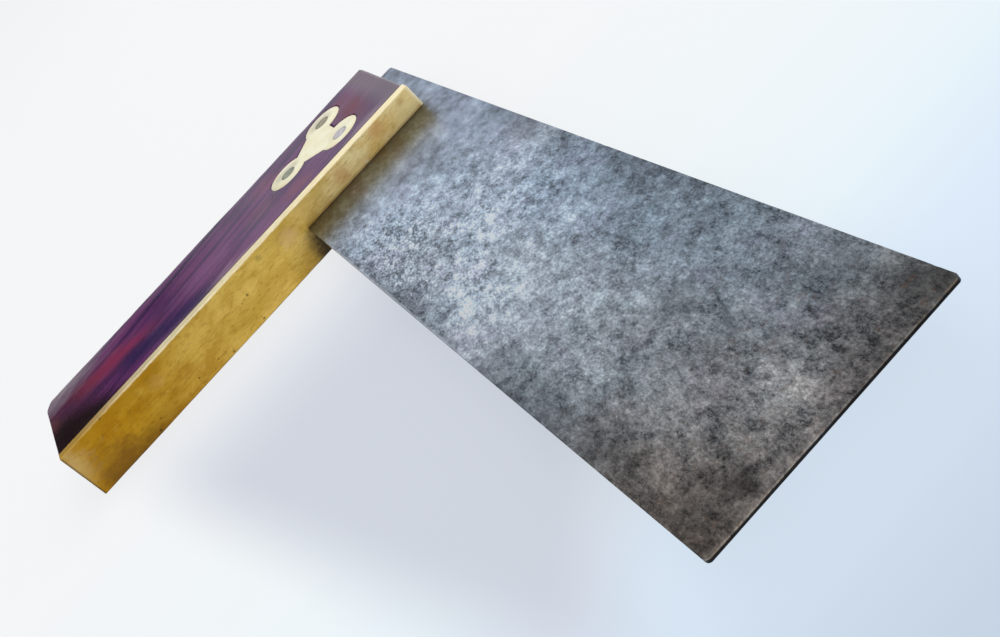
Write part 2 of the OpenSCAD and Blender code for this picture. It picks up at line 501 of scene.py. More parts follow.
class Surface(Nodes):
    """A node material that reads places in the frame, in millimetres."""

    def __init__(self, name):
        self.material = bpy.data.materials.new(name)
        self.material.use_nodes = True
        super().__init__(self.material.node_tree)
        self.shader = self.tree.nodes["Principled BSDF"]
        local = self.tree.nodes.new("ShaderNodeTexCoord").outputs["Object"]
        self.here = self.vector("SCALE", local, scale=1 / MM)
        self.place = self.here
        parts = self.tree.nodes.new("ShaderNodeSeparateXYZ")
        self.tree.links.new(self.place, parts.inputs[0])
        self.x, self.y, self.z = parts.outputs

    def noise(self, size, detail=3.0, rough=0.55, shift=0.0, distortion=0.0):
        """Noise whose features measure about size along X, Y and Z."""
        node = self.tree.nodes.new("ShaderNodeTexNoise")
        sizes = size if isinstance(size, tuple) else (size,) * 3
        scaled = self.vector("DIVIDE", self.place, sizes)
        self.feed(node.inputs["Vector"], self.vector("ADD", scaled, (shift, shift * 1.7, shift * 0.6)))
        node.inputs["Scale"].default_value = 1.0
        node.inputs["Detail"].default_value = detail
        node.inputs["Roughness"].default_value = rough
        node.inputs["Distortion"].default_value = distortion
        return node.outputs[0]

    def blob(self, centre, radii, edge=0.5, ragged=None, fray=1.1):
        """1 at a centre and 0 outside its radii, along X, Y and Z. ragged is a noise that frays its edge."""
        offset = self.vector("DIVIDE", self.vector("SUBTRACT", self.place, centre), radii)
        distance = self.vector("LENGTH", offset)
        if ragged is not None:
            frayed = self.math("MULTIPLY", self.math("SUBTRACT", ragged, 0.5), fray)
            distance = self.math("ADD", distance, frayed)
        return self.span(distance, 1.0, 1.0 - edge)

    def tinted(self, base, share, weight, shade):
        """base, with a shade laid over it where share is 1, as strongly as weight."""
        return self.mix(self.math("MULTIPLY", share, weight), base, shade)

    def toned(self, base, share, shade):
        """base, multiplied by a shade where share is 1."""
        return self.mix(share, base, self.mix(1.0, base, shade, "MULTIPLY"))

    def bump(self, height, depth):
        """Normal from a height of 0 to 1 that stands for depth in millimetres."""
        node = self.tree.nodes.new("ShaderNodeBump")
        node.inputs["Distance"].default_value = depth * MM
        self.feed(node.inputs["Height"], height)
        return node.outputs[0]

    def finish(self, base, rough, normal=None, metallic=0.0, **sockets):
        """Feeds the shader and returns the material. Further sockets get one value all over."""
        self.feed(self.shader.inputs["Base Color"], base)
        self.feed(self.shader.inputs["Roughness"], rough)
        self.feed(self.shader.inputs["Metallic"], metallic)
        if normal is not None:
            self.feed(self.shader.inputs["Normal"], normal)
        for name, value in sockets.items():
            self.shader.inputs[name.replace("_", " ")].default_value = value
        return self.material


def beyond_inlays(s):
    """Distance on the wood from the nearest inlay's outline, below 0 inside it."""
    upper_back, upper_face, lower = RIVET_CENTRES
    distance = None
    for centre, inwards in ((upper_back, RIVET_OUTSET), (upper_face, -RIVET_OUTSET), (lower, 0.0)):
        at = (centre[0] + inwards, centre[1], 0.0)
        flat = s.vector("MULTIPLY", s.vector("SUBTRACT", s.place, at), (1.0, 1.0, 0.0))
        lobe = s.math("SUBTRACT", s.vector("LENGTH", flat), LOBE)
        distance = lobe if distance is None else s.math("MINIMUM", distance, lobe)
    lean = math.radians(WEB_LEAN)
    out = s.math("ABSOLUTE", s.math("SUBTRACT", s.x, lower[0]))
    up = s.math("SUBTRACT", s.y, lower[1] + WEB_SHORT)
    side = s.total((out, math.cos(lean)), (up, -math.sin(lean)))
    top = s.math("SUBTRACT", s.y, upper_face[1] + WEB_RISE)
    web = s.math("MAXIMUM", s.math("MAXIMUM", side, top), s.math("SUBTRACT", out, WEB_HALF))
    return s.math("MINIMUM", distance, web)


# How far the wood's grain drifts along X for each millimetre along the stock
GRAIN_DRIFT = 0.2

# Patches of the wood's colour and of painted sheen and highlight, which go through to both sides of the
# stock: X, Y, radius along X, radius along Y, how strong and a colour
WOOD_PATCHES = (
    (-30.0, -46.0, 9.0, 12.0, 0.5, colour(46, 24, 70)),
    (-38.0, -11.0, 8.0, 10.0, 0.5, colour(54, 36, 68)),
    (-35.0, 1.0, 8.0, 9.0, 0.5, colour(118, 44, 76)),
    (-20.0, -5.0, 8.0, 9.0, 0.35, colour(120, 66, 86)),
    (-10.5, 7.0, 6.0, 9.0, 0.45, colour(124, 60, 62)),
    (-25.0, 34.5, 20.0, 9.0, 0.95, colour(96, 6, 46)),
    (-26.0, -68.0, 11.0, 14.0, 0.6, colour(134, 50, 78)),
    (-20.0, -28.0, 11.0, 18.0, 0.6, colour(126, 76, 124)),
    (-28.0, -78.0, 7.0, 9.0, 0.45, colour(156, 76, 96)),
    # A painted grey sheen on the rounded back edge
    (-46.0, -40.0, 9.0, 40.0, 0.45, colour(112, 92, 118)),
    # The next two are painted highlights beside the brass's bright arris
    (-3.5, -33.0, 6.5, 28.0, 0.65, colour(160, 136, 150)),
    (-3.5, 37.0, 6.0, 18.0, 0.5, colour(160, 140, 150)),
)

# How far the wood's bands lean along X for each millimetre along the stock
BAND_LEAN = 0.34

# A crimson and a navy band: how far back they lie of the leaning line through the origin, half width, where
# they start and end along Y, how strong and a colour
WOOD_BANDS = (
    (3.6, 5.0, -91.0, -44.0, 0.75, colour(132, 36, 72)),
    (-5.7, 7.0, -72.0, -20.0, 0.85, colour(36, 22, 72)),
)


def wood_grain(s):
    """Three noises of the wood: its tone in streaks, its fine grain, and one that frays patches. They drift
    towards the back as they rise along the stock."""
    s.place = s.vector("ADD", s.here, s.vector("SCALE", (GRAIN_DRIFT, 0.0, 0.0), scale=s.y))
    streaks = s.noise((3.6, 70.0, 3.6), 3, 0.5, distortion=0.4)
    fine = s.noise((0.5, 14.0, 0.5), 3, 0.6, 3.1)
    broad = s.noise((10.0, 60.0, 10.0), 2, 0.5, 7.3)
    ragged = s.noise((2.5, 11.0, 2.5), 3, 0.6, 1.4)
    s.place = s.here
    return s.total((streaks, 0.62), (broad, 0.38)), fine, ragged


def wood_figure(s, base, ragged):
    """The wood's coloured patches, some of them painted sheen and highlight, and its leaning bands."""
    for x, y, reach_x, reach_y, weight, shade in WOOD_PATCHES:
        patch = s.blob((x, y, FRONT_Z), (reach_x, reach_y, ANYWHERE), 0.95, ragged)
        base = s.tinted(base, patch, weight, shade)
    for back, half, start, end, weight, shade in WOOD_BANDS:
        off_band = s.math("ABSOLUTE", s.total((s.x, 1.0), (s.y, -BAND_LEAN), (1.0, back)))
        across = s.span(s.total((off_band, 1.0), (ragged, 6.0)), half + 6.5, half - 3.0)
        band = s.times(across, s.span(s.y, start, start + 12), s.span(s.y, end, end - 16))
        base = s.tinted(base, band, weight, shade)
    return base


def wood_ends(s, base, ragged):
    """A painted grey sheen at the head, and nearly black wood at the foot with a paler end and a painted grey
    sheen on its back corner.
    """
    # Painted grey sheen at the head
    base = s.tinted(base, s.span(s.y, 37.0, 44.0), 0.8, colour(104, 90, 102))
    dulled = s.span(s.total((s.y, 1.0), (ragged, 9.0)), -62.0, -80.0)
    base = s.tinted(base, dulled, 0.6, colour(66, 26, 38))
    foot = s.span(s.total((s.y, 1.0), (s.x, -1.0), (ragged, 9.0)), -53.0, -67.0)
    base = s.tinted(base, foot, 0.96, colour(18, 2, 0))
    # A paler patch on the faces at the foot's end
    paler_end = s.blob((-26.0, -92.0, 0.0), (12.0, 5.0, ANYWHERE), 0.9, ragged)
    base = s.tinted(base, paler_end, 0.6, colour(92, 52, 54))
    # Painted grey sheen on the foot's rounded back corner
    sheen_on_foot_corner = s.blob((-49.0, -92.0, 0.0), (21.0, 40.0, ANYWHERE), 0.95, ragged)
    return s.tinted(base, sheen_on_foot_corner, 0.9, colour(144, 132, 144))


def rosewood():
    """Dark red-purple wood under an old polish, with dirt in its grain, round the inlays and at the brass."""
    s = Surface("old_rosewood")
    tone, fine, ragged = wood_grain(s)
    base = s.ramp(tone, [
        (0.34, colour(40, 20, 58)), (0.45, colour(70, 32, 80)), (0.55, colour(96, 44, 94)),
        (0.66, colour(110, 56, 104)),
    ])
    base = wood_ends(s, wood_figure(s, base, ragged), ragged)
    base = s.mix(s.span(fine, 0.52, 0.72, 0, 0.3), base, colour(26, 10, 26))
    base = s.tinted(base, s.span(beyond_inlays(s), 0.8, 0.2), 0.4, colour(26, 12, 20))
    at_brass = s.span(s.x, STOCK_HIGH[0] - 0.9, STOCK_HIGH[0] - 0.3)
    base = s.tinted(base, at_brass, 0.6, colour(38, 22, 14))
    pores = s.noise((0.22, 3.5, 0.22), 2, 0.6, 9.0)
    height = s.total((pores, 0.6), (fine, 0.4))
    rough = s.span(s.noise(14.0, 3, 0.6, 5.0), 0.3, 0.7, 0.18, 0.28)
    return s.finish(base, rough, s.bump(height, 0.03), IOR=1.25)


# Marks on the brass face: Y, Z, radius, how strong, and a colour. The palest, at Y 22.5, 25 and 43, are
# painted highlights
BRASS_MARKS = (
    (-77.5, 8.1, 0.45, 0.9, colour(44, 28, 10)), (-67.0, -5.0, 0.3, 0.8, colour(70, 42, 10)),
    (-51.5, -5.3, 0.4, 0.8, colour(70, 44, 12)), (-44.0, -5.7, 0.3, 0.8, colour(70, 42, 10)),
    (-39.6, -7.6, 0.55, 0.8, colour(48, 36, 16)), (-27.0, -7.4, 0.5, 0.7, colour(60, 44, 20)),
    (-69.5, -7.4, 0.5, 0.8, colour(50, 32, 12)), (-25.2, 0.9, 0.6, 0.7, colour(96, 68, 26)),
    (-28.0, 0.2, 0.3, 0.8, colour(80, 58, 26)), (-84.0, -4.0, 9.0, 0.45, colour(120, 84, 24)),
    (43.0, 4.0, 6.5, 0.65, colour(255, 236, 172)), (2.5, 6.0, 5.0, 0.4, colour(240, 204, 124)),
    (22.5, 2.0, 3.5, 0.35, colour(250, 222, 154)), (-15.5, 5.6, 1.3, 0.4, colour(136, 128, 60)),
    (-79.0, -3.6, 4.6, 0.4, colour(120, 78, 16)), (-5.5, 3.6, 4.0, 0.4, colour(216, 182, 134)),
    (17.5, 4.4, 3.8, 0.55, colour(204, 142, 80)), (25.0, 1.6, 0.9, 0.7, colour(255, 240, 204)),
    (33.0, 6.0, 3.2, 0.5, colour(214, 154, 92)), (43.5, 6.4, 1.5, 0.4, colour(178, 128, 70)),
    (9.0, 2.4, 2.4, 0.35, colour(190, 146, 70)), (-60.0, 3.0, 3.0, 0.3, colour(196, 156, 84)),
)


def brass_tone(s, cloud):
    """The brass's colour along the stock, deep ochre at the foot and pale at the head, where the paleness is
    a painted reflection of the blade.
    """
    deep = s.mix(s.span(cloud, 0.38, 0.62), colour(164, 116, 0), colour(182, 138, 20))
    golden = s.mix(s.span(cloud, 0.38, 0.62), colour(200, 164, 68), colour(220, 186, 92))
    # The pale colours at the head are a painted reflection of the blade
    pale = s.mix(s.span(cloud, 0.36, 0.64), colour(240, 204, 126), colour(255, 234, 172))
    along = s.total((s.y, 1.0), (cloud, 26.0))
    base = s.mix(s.span(along, -62.0, -6.0), deep, golden)
    return s.mix(s.span(along, 4.0, 46.0), base, pale)


def brass_grain(s, base, blotch):
    """Blotches, speckles and drawn marks all over the brass."""
    base = s.mix(s.span(blotch, 0.54, 0.72, 0.0, 0.25), base, colour(156, 108, 20))
    base = s.mix(s.span(blotch, 0.44, 0.3, 0.0, 0.2), base, colour(214, 180, 96))
    speckle = s.noise((1.2, 2.4, 0.9), 3, 0.6, 10.0)
    base = s.toned(base, s.span(speckle, 0.5, 0.7, 0.0, 0.4), colour(180, 164, 120))
    drawn = s.noise((0.5, 11.0, 0.3), 3, 0.6, 12.0)
    return s.toned(base, s.span(drawn, 0.52, 0.68, 0.0, 0.35), colour(186, 160, 110))


def brass_foot(s, base, ragged):
    """The foot's colours: darker on the low side, ochre on the high side, and paler in the corner."""
    low = s.span(s.total((s.z, 1.0), (ragged, 4.0)), 1.0, -6.5)
    low_side = s.times(low, s.span(s.y, -54.0, -76.0), s.span(s.y, -93.0, -87.0))
    base = s.tinted(base, low_side, 0.75, colour(98, 64, 14))
    high_side = s.times(s.span(s.total((s.z, 1.0), (ragged, 2.0)), 5.0, 7.5), s.span(s.y, -44.0, -62.0))
    base = s.tinted(base, high_side, 0.6, colour(166, 120, 6))
    corner = s.blob((0.0, -94.0, 3.5), (ANYWHERE, 10.0, 11.0), 0.9, ragged)
    return s.tinted(base, corner, 0.8, colour(190, 160, 100))


def brass_at_blade(s, base, ragged):
    """Tarnish and grime where the blade leaves the brass, with the blade's painted shadow on the brass below
    it.
    """
    # Painted shadow of the blade, fading out, over tarnish below the blade
    shadow_and_tarnish_edge = s.total((s.y, 1.0), (s.z, -0.5), (ragged, 6.0))
    shadow_and_tarnish = s.times(s.span(shadow_and_tarnish_edge, -9.0, 4.0), s.span(s.z, 5.0, -3.0))
    base = s.tinted(base, shadow_and_tarnish, 0.5, colour(120, 92, 44))
    # Painted shadow of the blade with grime, darkest right beside its inner edge
    shadow_and_grime_edge = s.total((s.y, 1.0), (ragged, 5.0), (s.z, -0.35))
    under_blade = s.times(s.span(shadow_and_grime_edge, -1.5, 4.0), s.span(s.y, 0.6, 0.1), s.span(s.z, 1.2, 0.0))
    base = s.tinted(base, under_blade, 0.93, colour(30, 25, 18))
    off_blade = s.math("ABSOLUTE", s.math("SUBTRACT", s.z, 0.5))
    at_blade = s.times(s.span(off_blade, 1.5, 0.5), s.span(s.y, -0.5, 0.5))
    return s.tinted(base, at_blade, 0.5, colour(112, 74, 40))


def brass_worn_highlit_edges(s, ragged):
    """1 on the bright edges, along the front and round the head, which are worn and carry a painted
    highlight.
    """
    front = s.span(s.total((s.z, 1.0), (ragged, 0.8)), FRONT_Z - 0.25, FRONT_Z + 0.3)
    head = s.span(s.total((s.y, 1.0), (ragged, 1.2)), HEAD_Y - 0.7, HEAD_Y + 0.2)
    return s.math("MAXIMUM", front, head)


def brass_edges(s, base, ragged, worn):
    """A painted dark line of shade and dark reflection along the far edge and the foot, and bare brass with a
    painted highlight on the worn edges.
    """
    # Painted shade and dark reflection along the far edge and the foot
    at_foot = s.span(s.y, FOOT_Y + 0.9, FOOT_Y + 0.2)
    at_far_edge = s.span(s.total((s.z, 1.0), (ragged, 1.0)), 0.95 - FRONT_Z, 0.35 - FRONT_Z)
    base = s.tinted(base, s.math("MAXIMUM", at_foot, at_far_edge), 0.7, colour(70, 54, 28))
    # Bare brass with a painted highlight on the worn edges
    bright = s.mix(s.span(s.y, -90.0, -50.0), colour(196, 156, 66), colour(255, 243, 202))
    rubbed = s.span(s.noise((2.0, 5.0, 2.0), 3, 0.7, 14.0), 0.3, 0.62, 1.0, 0.75)
    return s.tinted(base, worn, rubbed, bright)


def old_brass():
    """Old brass, deep ochre at the foot and pale at the head with a painted reflection of the blade, and
    bright where the outer edges are worn, with a painted highlight on them.
    """
    s = Surface("old_brass")
    cloud = s.noise((14.0, 14.0, 7.0), 4, 0.6)
    blotch = s.noise((4.0, 6.0, 2.5), 3, 0.6, 2.0)
    ragged = s.noise((2.5, 2.5, 1.6), 3, 0.65, 4.0)
    base = brass_foot(s, brass_grain(s, brass_tone(s, cloud), blotch), ragged)
    for y, z, radius, weight, shade in BRASS_MARKS:
        mark = s.blob((0.0, y, z), (ANYWHERE, radius * 1.2, radius), 0.8, ragged)
        base = s.tinted(base, mark, weight, shade)
    base = brass_at_blade(s, base, ragged)
    pits = s.span(s.noise(0.6, 2, 0.5, 6.0), 0.72, 0.78)
    base = s.tinted(base, pits, 0.7, colour(76, 50, 16))
    # worn: the worn front and head edges, which also carry a painted highlight
    worn = brass_worn_highlit_edges(s, ragged)
    base = brass_edges(s, base, ragged, worn)
    scratches = s.noise((0.3, 14.0, 0.16), 2, 0.6, 8.0)
    height = s.total((scratches, 0.5), (pits, -0.8), (blotch, 0.4))
    rough = s.span(s.total((cloud, 0.6), (scratches, 0.4)), 0.35, 0.65, 0.36, 0.5)
    metallic = s.math("SUBTRACT", s.span(s.y, -40.0, 20.0, 0.55, 0.3), s.math("MULTIPLY", worn, 0.1))
    return s.finish(base, rough, s.bump(height, 0.03), metallic, Specular_IOR_Level=0.25)


# How strongly the inlay is greyed beside each rivet, and how far the greying lies from it towards the back
RIVET_GREYING = (0.5, 0.2, 0.5)
GREYING_SHIFT = 1.6


def inlay_brass():
    """Pale brass, rubbed bright with the wood and painted near white, with little metal in it, as a painted
    reflection of bright light, and greyed beside the rivets.
    """
    s = Surface("inlay_brass")
    cloud = s.noise(5.0, 3, 0.6, 2.2)
    # The near-white base, with little metal, is a painted reflection of bright light
    base = s.mix(s.span(cloud, 0.35, 0.65), colour(248, 240, 198), colour(255, 252, 222))
    rim = s.span(s.total((beyond_inlays(s), 1.0), (cloud, 1.0)), -0.8, 0.8)
    base = s.tinted(base, rim, 0.35, colour(230, 200, 172))
    for centre, weight in zip(RIVET_CENTRES, RIVET_GREYING):
        at = (centre[0] - GREYING_SHIFT, centre[1], 0.0)
        greying = s.blob(at, (4.6, 6.0, ANYWHERE), 0.6, cloud, 0.6)
        base = s.tinted(base, greying, weight, colour(176, 172, 152))
    return s.finish(base, s.span(cloud, 0.3, 0.7, 0.28, 0.4), s.bump(cloud, 0.008), 0.3)


# Dark and light tone of each rivet's end
RIVET_COLOURS = (
    (colour(142, 136, 108), colour(200, 192, 162)),
    (colour(210, 202, 208), colour(246, 240, 242)),
    (colour(136, 142, 118), colour(198, 200, 176)),
)


def rivet_steel(name, dark, light):
    """The filed end of a rivet, darkest round its rim."""
    s = Surface(name)
    cloud = s.noise(1.5, 3, 0.6, 1.0)
    base = s.mix(s.span(cloud, 0.35, 0.65), dark, light)
    for centre in RIVET_CENTRES:
        flat = s.vector("MULTIPLY", s.vector("SUBTRACT", s.place, tuple(centre)), (1.0, 1.0, 0.0))
        from_axis = s.vector("LENGTH", flat)
        rim = s.times(s.span(s.total((from_axis, 1.0), (cloud, 0.8)), 2.2, 2.8), s.span(from_axis, 2.8, 2.7))
        base = s.tinted(base, rim, 0.35, colour(84, 74, 62))
    return s.finish(base, s.span(cloud, 0.3, 0.7, 0.3, 0.45), s.bump(cloud, 0.03), 0.8)


# Lighter and darker zones of the blade: X, Y, radius along X, radius along Y, and change of brightness
BLADE_ZONES = (
    (70.0, 56.0, 45.0, 13.0, -0.4), (130.0, 58.0, 60.0, 22.0, -0.5), (225.0, 52.0, 16.0, 15.0, -0.5),
    (80.0, 0.0, 36.0, 10.0, -0.36), (172.0, -2.0, 66.0, 15.0, -0.55), (221.0, 4.0, 17.0, 14.0, -0.5),
    (74.0, 13.0, 16.0, 10.0, -0.2), (46.0, 14.0, 25.0, 15.0, 0.42), (112.0, 13.0, 30.0, 13.0, 0.62),
    (88.0, 28.0, 22.0, 14.0, 0.46), (144.0, 22.0, 12.0, 9.0, 0.3), (175.0, 33.0, 12.0, 8.0, -0.1),
    (118.0, 43.0, 16.0, 9.0, -0.1), (160.0, 44.0, 11.0, 9.0, -0.2), (166.0, 14.0, 14.0, 8.0, 0.26),
    (214.0, 27.0, 16.0, 11.0, 0.54), (200.5, 17.0, 8.0, 6.0, 0.14), (222.7, 12.0, 4.5, 4.5, -0.45),
    (198.8, 4.2, 6.0, 4.0, -0.25), (193.3, 31.5, 6.0, 4.5, -0.2), (173.9, 38.7, 5.0, 3.5, -0.25),
    (165.4, 42.2, 5.0, 3.5, -0.2), (117.5, 1.2, 8.0, 2.5, -0.25), (204.0, 46.0, 16.0, 9.0, -0.12),
    (80.0, 27.0, 66.0, 34.0, 0.18), (54.0, 28.0, 14.0, 12.0, 0.22), (38.0, 8.0, 16.0, 14.0, 0.42),
    (100.0, 36.0, 14.0, 12.0, 0.2), (107.0, 14.0, 18.0, 10.0, 0.3), (84.0, 23.0, 10.0, 8.0, 0.2),
    (69.0, 50.0, 9.0, 6.0, -0.2), (70.0, 5.0, 10.0, 6.0, 0.2), (145.0, 22.0, 12.0, 10.0, 0.12),
    (175.0, 32.0, 11.0, 9.0, -0.3), (188.0, 5.0, 11.0, 8.0, -0.2), (226.0, 12.0, 8.0, 7.0, -0.25),
    (190.0, 26.0, 10.0, 12.0, -0.16), (204.0, 51.0, 9.0, 7.0, -0.2), (54.0, 50.0, 10.0, 7.0, 0.25),
    (39.0, 40.0, 12.0, 9.0, 0.2), (173.0, 14.0, 9.0, 8.0, 0.16), (219.0, 28.0, 9.0, 9.0, 0.17),
    (228.0, 53.0, 12.0, 9.0, -0.3), (226.0, 35.0, 7.0, 9.0, -0.15), (209.0, 39.0, 11.0, 8.0, 0.16),
)


def steel_mottle(s, patch, speck, grain, pitted, far):
    """The patina's mottling, about 1 on average, from clouds down to dust. It is fainter beside the brass
    and stronger where the steel is pitted, and thin dark cracks run through its duller patches."""
    cloud = s.noise((24.0, 15.0, 20.0), 2, 0.5, 1.0)
    dust = s.noise((0.44, 0.26, 0.35), 1, 0.5, 21.0)
    crack = s.math("ABSOLUTE", s.math("SUBTRACT", s.noise((3.6, 2.2, 3.0), 4, 0.65, 19.0), 0.5))
    cracks = s.times(s.span(crack, 0.02, 0.0), s.span(patch, 0.58, 0.42))
    sharp = s.span(s.total((s.x, 1.0), (s.y, -0.9)), -10.0, 40.0, 0.3, 1.0)
    contrast = s.total((1.0, 1.1), (pitted, 1.1))
    dusty = s.times(s.math("SUBTRACT", dust, 0.5), s.total((1.0, 0.1), (far, 0.9), (pitted, 0.6)))
    crisp = s.total((speck, 1.9), (grain, 1.9), (dusty, 1.0), (1.0, -1.82), (cracks, -0.5))
    fine = s.times(crisp, sharp, contrast)
    soft = s.times(s.math("SUBTRACT", patch, 0.5), s.total((1.0, 2.05), (far, -0.1)))
    return s.total((fine, 1.0), (soft, 1.0), (cloud, 1.5), (1.0, 0.24))


def steel_tone(s, mottle, ragged):
    """The patina's brightness: the mottling, partly on an exponential scale that keeps its dark specks from
    going black, times the zones' changes."""
    zones = 1.0
    for x, y, reach_x, reach_y, weight in BLADE_ZONES:
        zone = s.blob((x, y, 0.0), (reach_x, reach_y, ANYWHERE), 0.95, ragged, 1.2)
        zones = s.math("ADD", s.math("MULTIPLY", zone, weight), zones)
    eased = s.total((s.math("EXPONENT", s.math("SUBTRACT", mottle, 1.0)), 0.4), (mottle, 0.6))
    return s.times(s.math("MAXIMUM", eased, 0.14), s.math("MAXIMUM", zones, 0.35))


def steel_colour(s, patch, mottle, ragged, far):
    """The patina's colour, blue-grey for most of the blade and brown towards the free end's inner corner."""
    along = s.total((s.x, 1 / 230), (patch, 0.16), (1.0, -0.08))
    base = s.ramp(along, [
        (0.14, colour(150, 164, 184)), (0.26, colour(161, 175, 193)), (0.40, colour(172, 184, 199)),
        (0.55, colour(173, 184, 197)), (0.66, colour(162, 172, 182)), (0.78, colour(152, 159, 166)),
        (0.89, colour(141, 143, 146)), (0.99, colour(137, 134, 132)),
    ])
    hue = s.noise((14.0, 9.0, 12.0), 3, 0.6, 17.0)
    base = s.toned(base, s.span(hue, 0.52, 0.66, 0, 0.6), colour(255, 246, 252))
    base = s.toned(base, s.span(hue, 0.48, 0.34, 0, 0.6), colour(246, 253, 253))
    blue = s.times(s.span(s.y, 24.0, 44.0), s.span(s.x, 70.0, 110.0), s.span(s.x, 232.0, 200.0))
    base = s.toned(base, blue, colour(236, 247, 255))
    brown = s.times(s.span(s.x, 165.0, 215.0), s.span(s.total((s.y, 1.0), (ragged, 16.0)), 31.0, 8.0))
    base = s.tinted(base, brown, 0.7, colour(146, 132, 120))
    base = s.toned(base, s.span(mottle, 0.9, 0.4, 0, 0.6), colour(246, 250, 255))
    lit = s.times(s.span(mottle, 1.0, 1.5, 0, 0.6), s.math("SUBTRACT", 1.0, far))
    return s.toned(base, lit, colour(255, 251, 243))


def steel_marks(s, base, speck, ragged, glints, scratches):
    """Glints, rust, grime darkened by a painted reflection of the brass beside it, a painted shade right at
    the brass, and rubbed scratches.
    """
    base = s.tinted(base, glints, 0.45, colour(216, 224, 236))
    rust = s.times(s.span(s.noise(2.2, 3, 0.6, 15.0), 0.58, 0.7), s.span(s.x, 150.0, 220.0))
    base = s.tinted(base, rust, 0.3, colour(122, 84, 62))
    at_head = s.span(s.total((s.y, 1.0), (ragged, 6.0)), 55.0, 48.0)
    # Grime near the stock, darkened further by a painted reflection of the brass
    grime_and_brass_reflection = s.times(s.span(s.total((s.x, 1.0), (ragged, 12.0)), 31.0, 13.0), at_head)
    base = s.tinted(base, s.times(grime_and_brass_reflection, s.span(speck, 0.3, 0.7, 1.0, 0.7)), 0.88, colour(71, 69, 59))
    # Painted shade right at the brass
    shade_at_brass = s.times(s.span(s.total((s.x, 1.0), (ragged, 4.0)), 11.0, 3.0), at_head)
    base = s.tinted(base, shade_at_brass, 0.6, colour(54, 47, 34))
    rubbed = s.times(s.span(scratches, 0.56, 0.7), s.span(s.x, 105.0, 135.0), s.span(s.x, 180.0, 150.0))
    return s.tinted(base, rubbed, 0.14, colour(206, 212, 224))


def steel_edges(s, base, speck, ragged):
    """A bright fringe along the inner edge, a painted highlight on the arris at the free end, and a nearly
    black end face.
    """
    inner = s.span(s.total((s.y, 1.0), (ragged, 0.8)), 1.1, 0.6)
    fringe = s.times(inner, s.span(s.x, 18.0, 34.0), s.span(s.x, 145.0, 115.0))
    base = s.tinted(base, fringe, 0.7, colour(212, 218, 228))
    # Painted highlight along the arris at the free end
    at_end = s.total((s.x, 1.0), (ragged, 0.2))
    arris = s.times(s.span(at_end, BLADE_HIGH[0] - 0.2, BLADE_HIGH[0]), s.span(speck, 0.35, 0.65))
    base = s.tinted(base, arris, 0.3, colour(172, 146, 112))
    below_top = s.span(s.total((s.z, 1.0), (ragged, 0.2)), BLADE_HIGH[2] - 0.08, BLADE_HIGH[2] - 0.25)
    end_face = s.times(s.span(s.x, BLADE_HIGH[0] - 2.0, BLADE_HIGH[0] - 0.8), below_top)
    return s.tinted(base, end_face, 0.95, colour(20, 14, 12))


def patinated_steel():
    """Grey patina, mottled at every size down to a fine grain, softer near the brass and browner far out."""
    s = Surface("patinated_steel")
    patch = s.noise((6.5, 4.0, 5.0), 2, 0.6, 3.0)
    speck = s.noise((2.2, 1.3, 1.8), 2, 0.65, 5.0)
    grain = s.noise((0.85, 0.5, 0.7), 2, 0.6, 7.0)
    ragged = s.noise(4.0, 4, 0.65, 9.0)
    scratches = s.noise((26.0, 0.22, 1.0), 2, 0.6, 11.0)
    pitted = s.blob((66.0, 8.0, 0.0), (38.0, 20.0, ANYWHERE), 0.9, ragged)
    far = s.span(s.x, 110.0, 190.0)
    mottle = steel_mottle(s, patch, speck, grain, pitted, far)
    tone = steel_tone(s, mottle, ragged)
    base = s.vector("SCALE", steel_colour(s, patch, mottle, ragged, far), scale=tone)
    glints = s.times(s.span(s.noise((1.3, 0.8, 1.0), 2, 0.5, 13.0), 0.56, 0.68), pitted)
    base = steel_marks(s, base, speck, ragged, glints, scratches)
    base = steel_edges(s, base, speck, ragged)
    height = s.total((tone, 0.4), (grain, 0.4), (glints, 0.4), (scratches, 0.15))
    rough = s.span(s.x, 15.0, 110.0, 0.31, 0.38)
    return s.finish(base, rough, s.bump(height, 0.02), 0.9)


def paint(piece, material):
    """Gives a piece one material."""
    piece.data.materials.clear()
    piece.data.materials.append(material)


# Floor, light and camera


def seen_directly(nodes):
    """1 for what the camera sees, directly or in gloss or glass, and 0 for light that surfaces receive."""
    path = nodes.tree.nodes.new("ShaderNodeLightPath")
    seen = nodes.math("MAXIMUM", path.outputs["Is Camera Ray"], path.outputs["Is Glossy Ray"])
    return nodes.math("MAXIMUM", seen, path.outputs["Is Transmission Ray"])


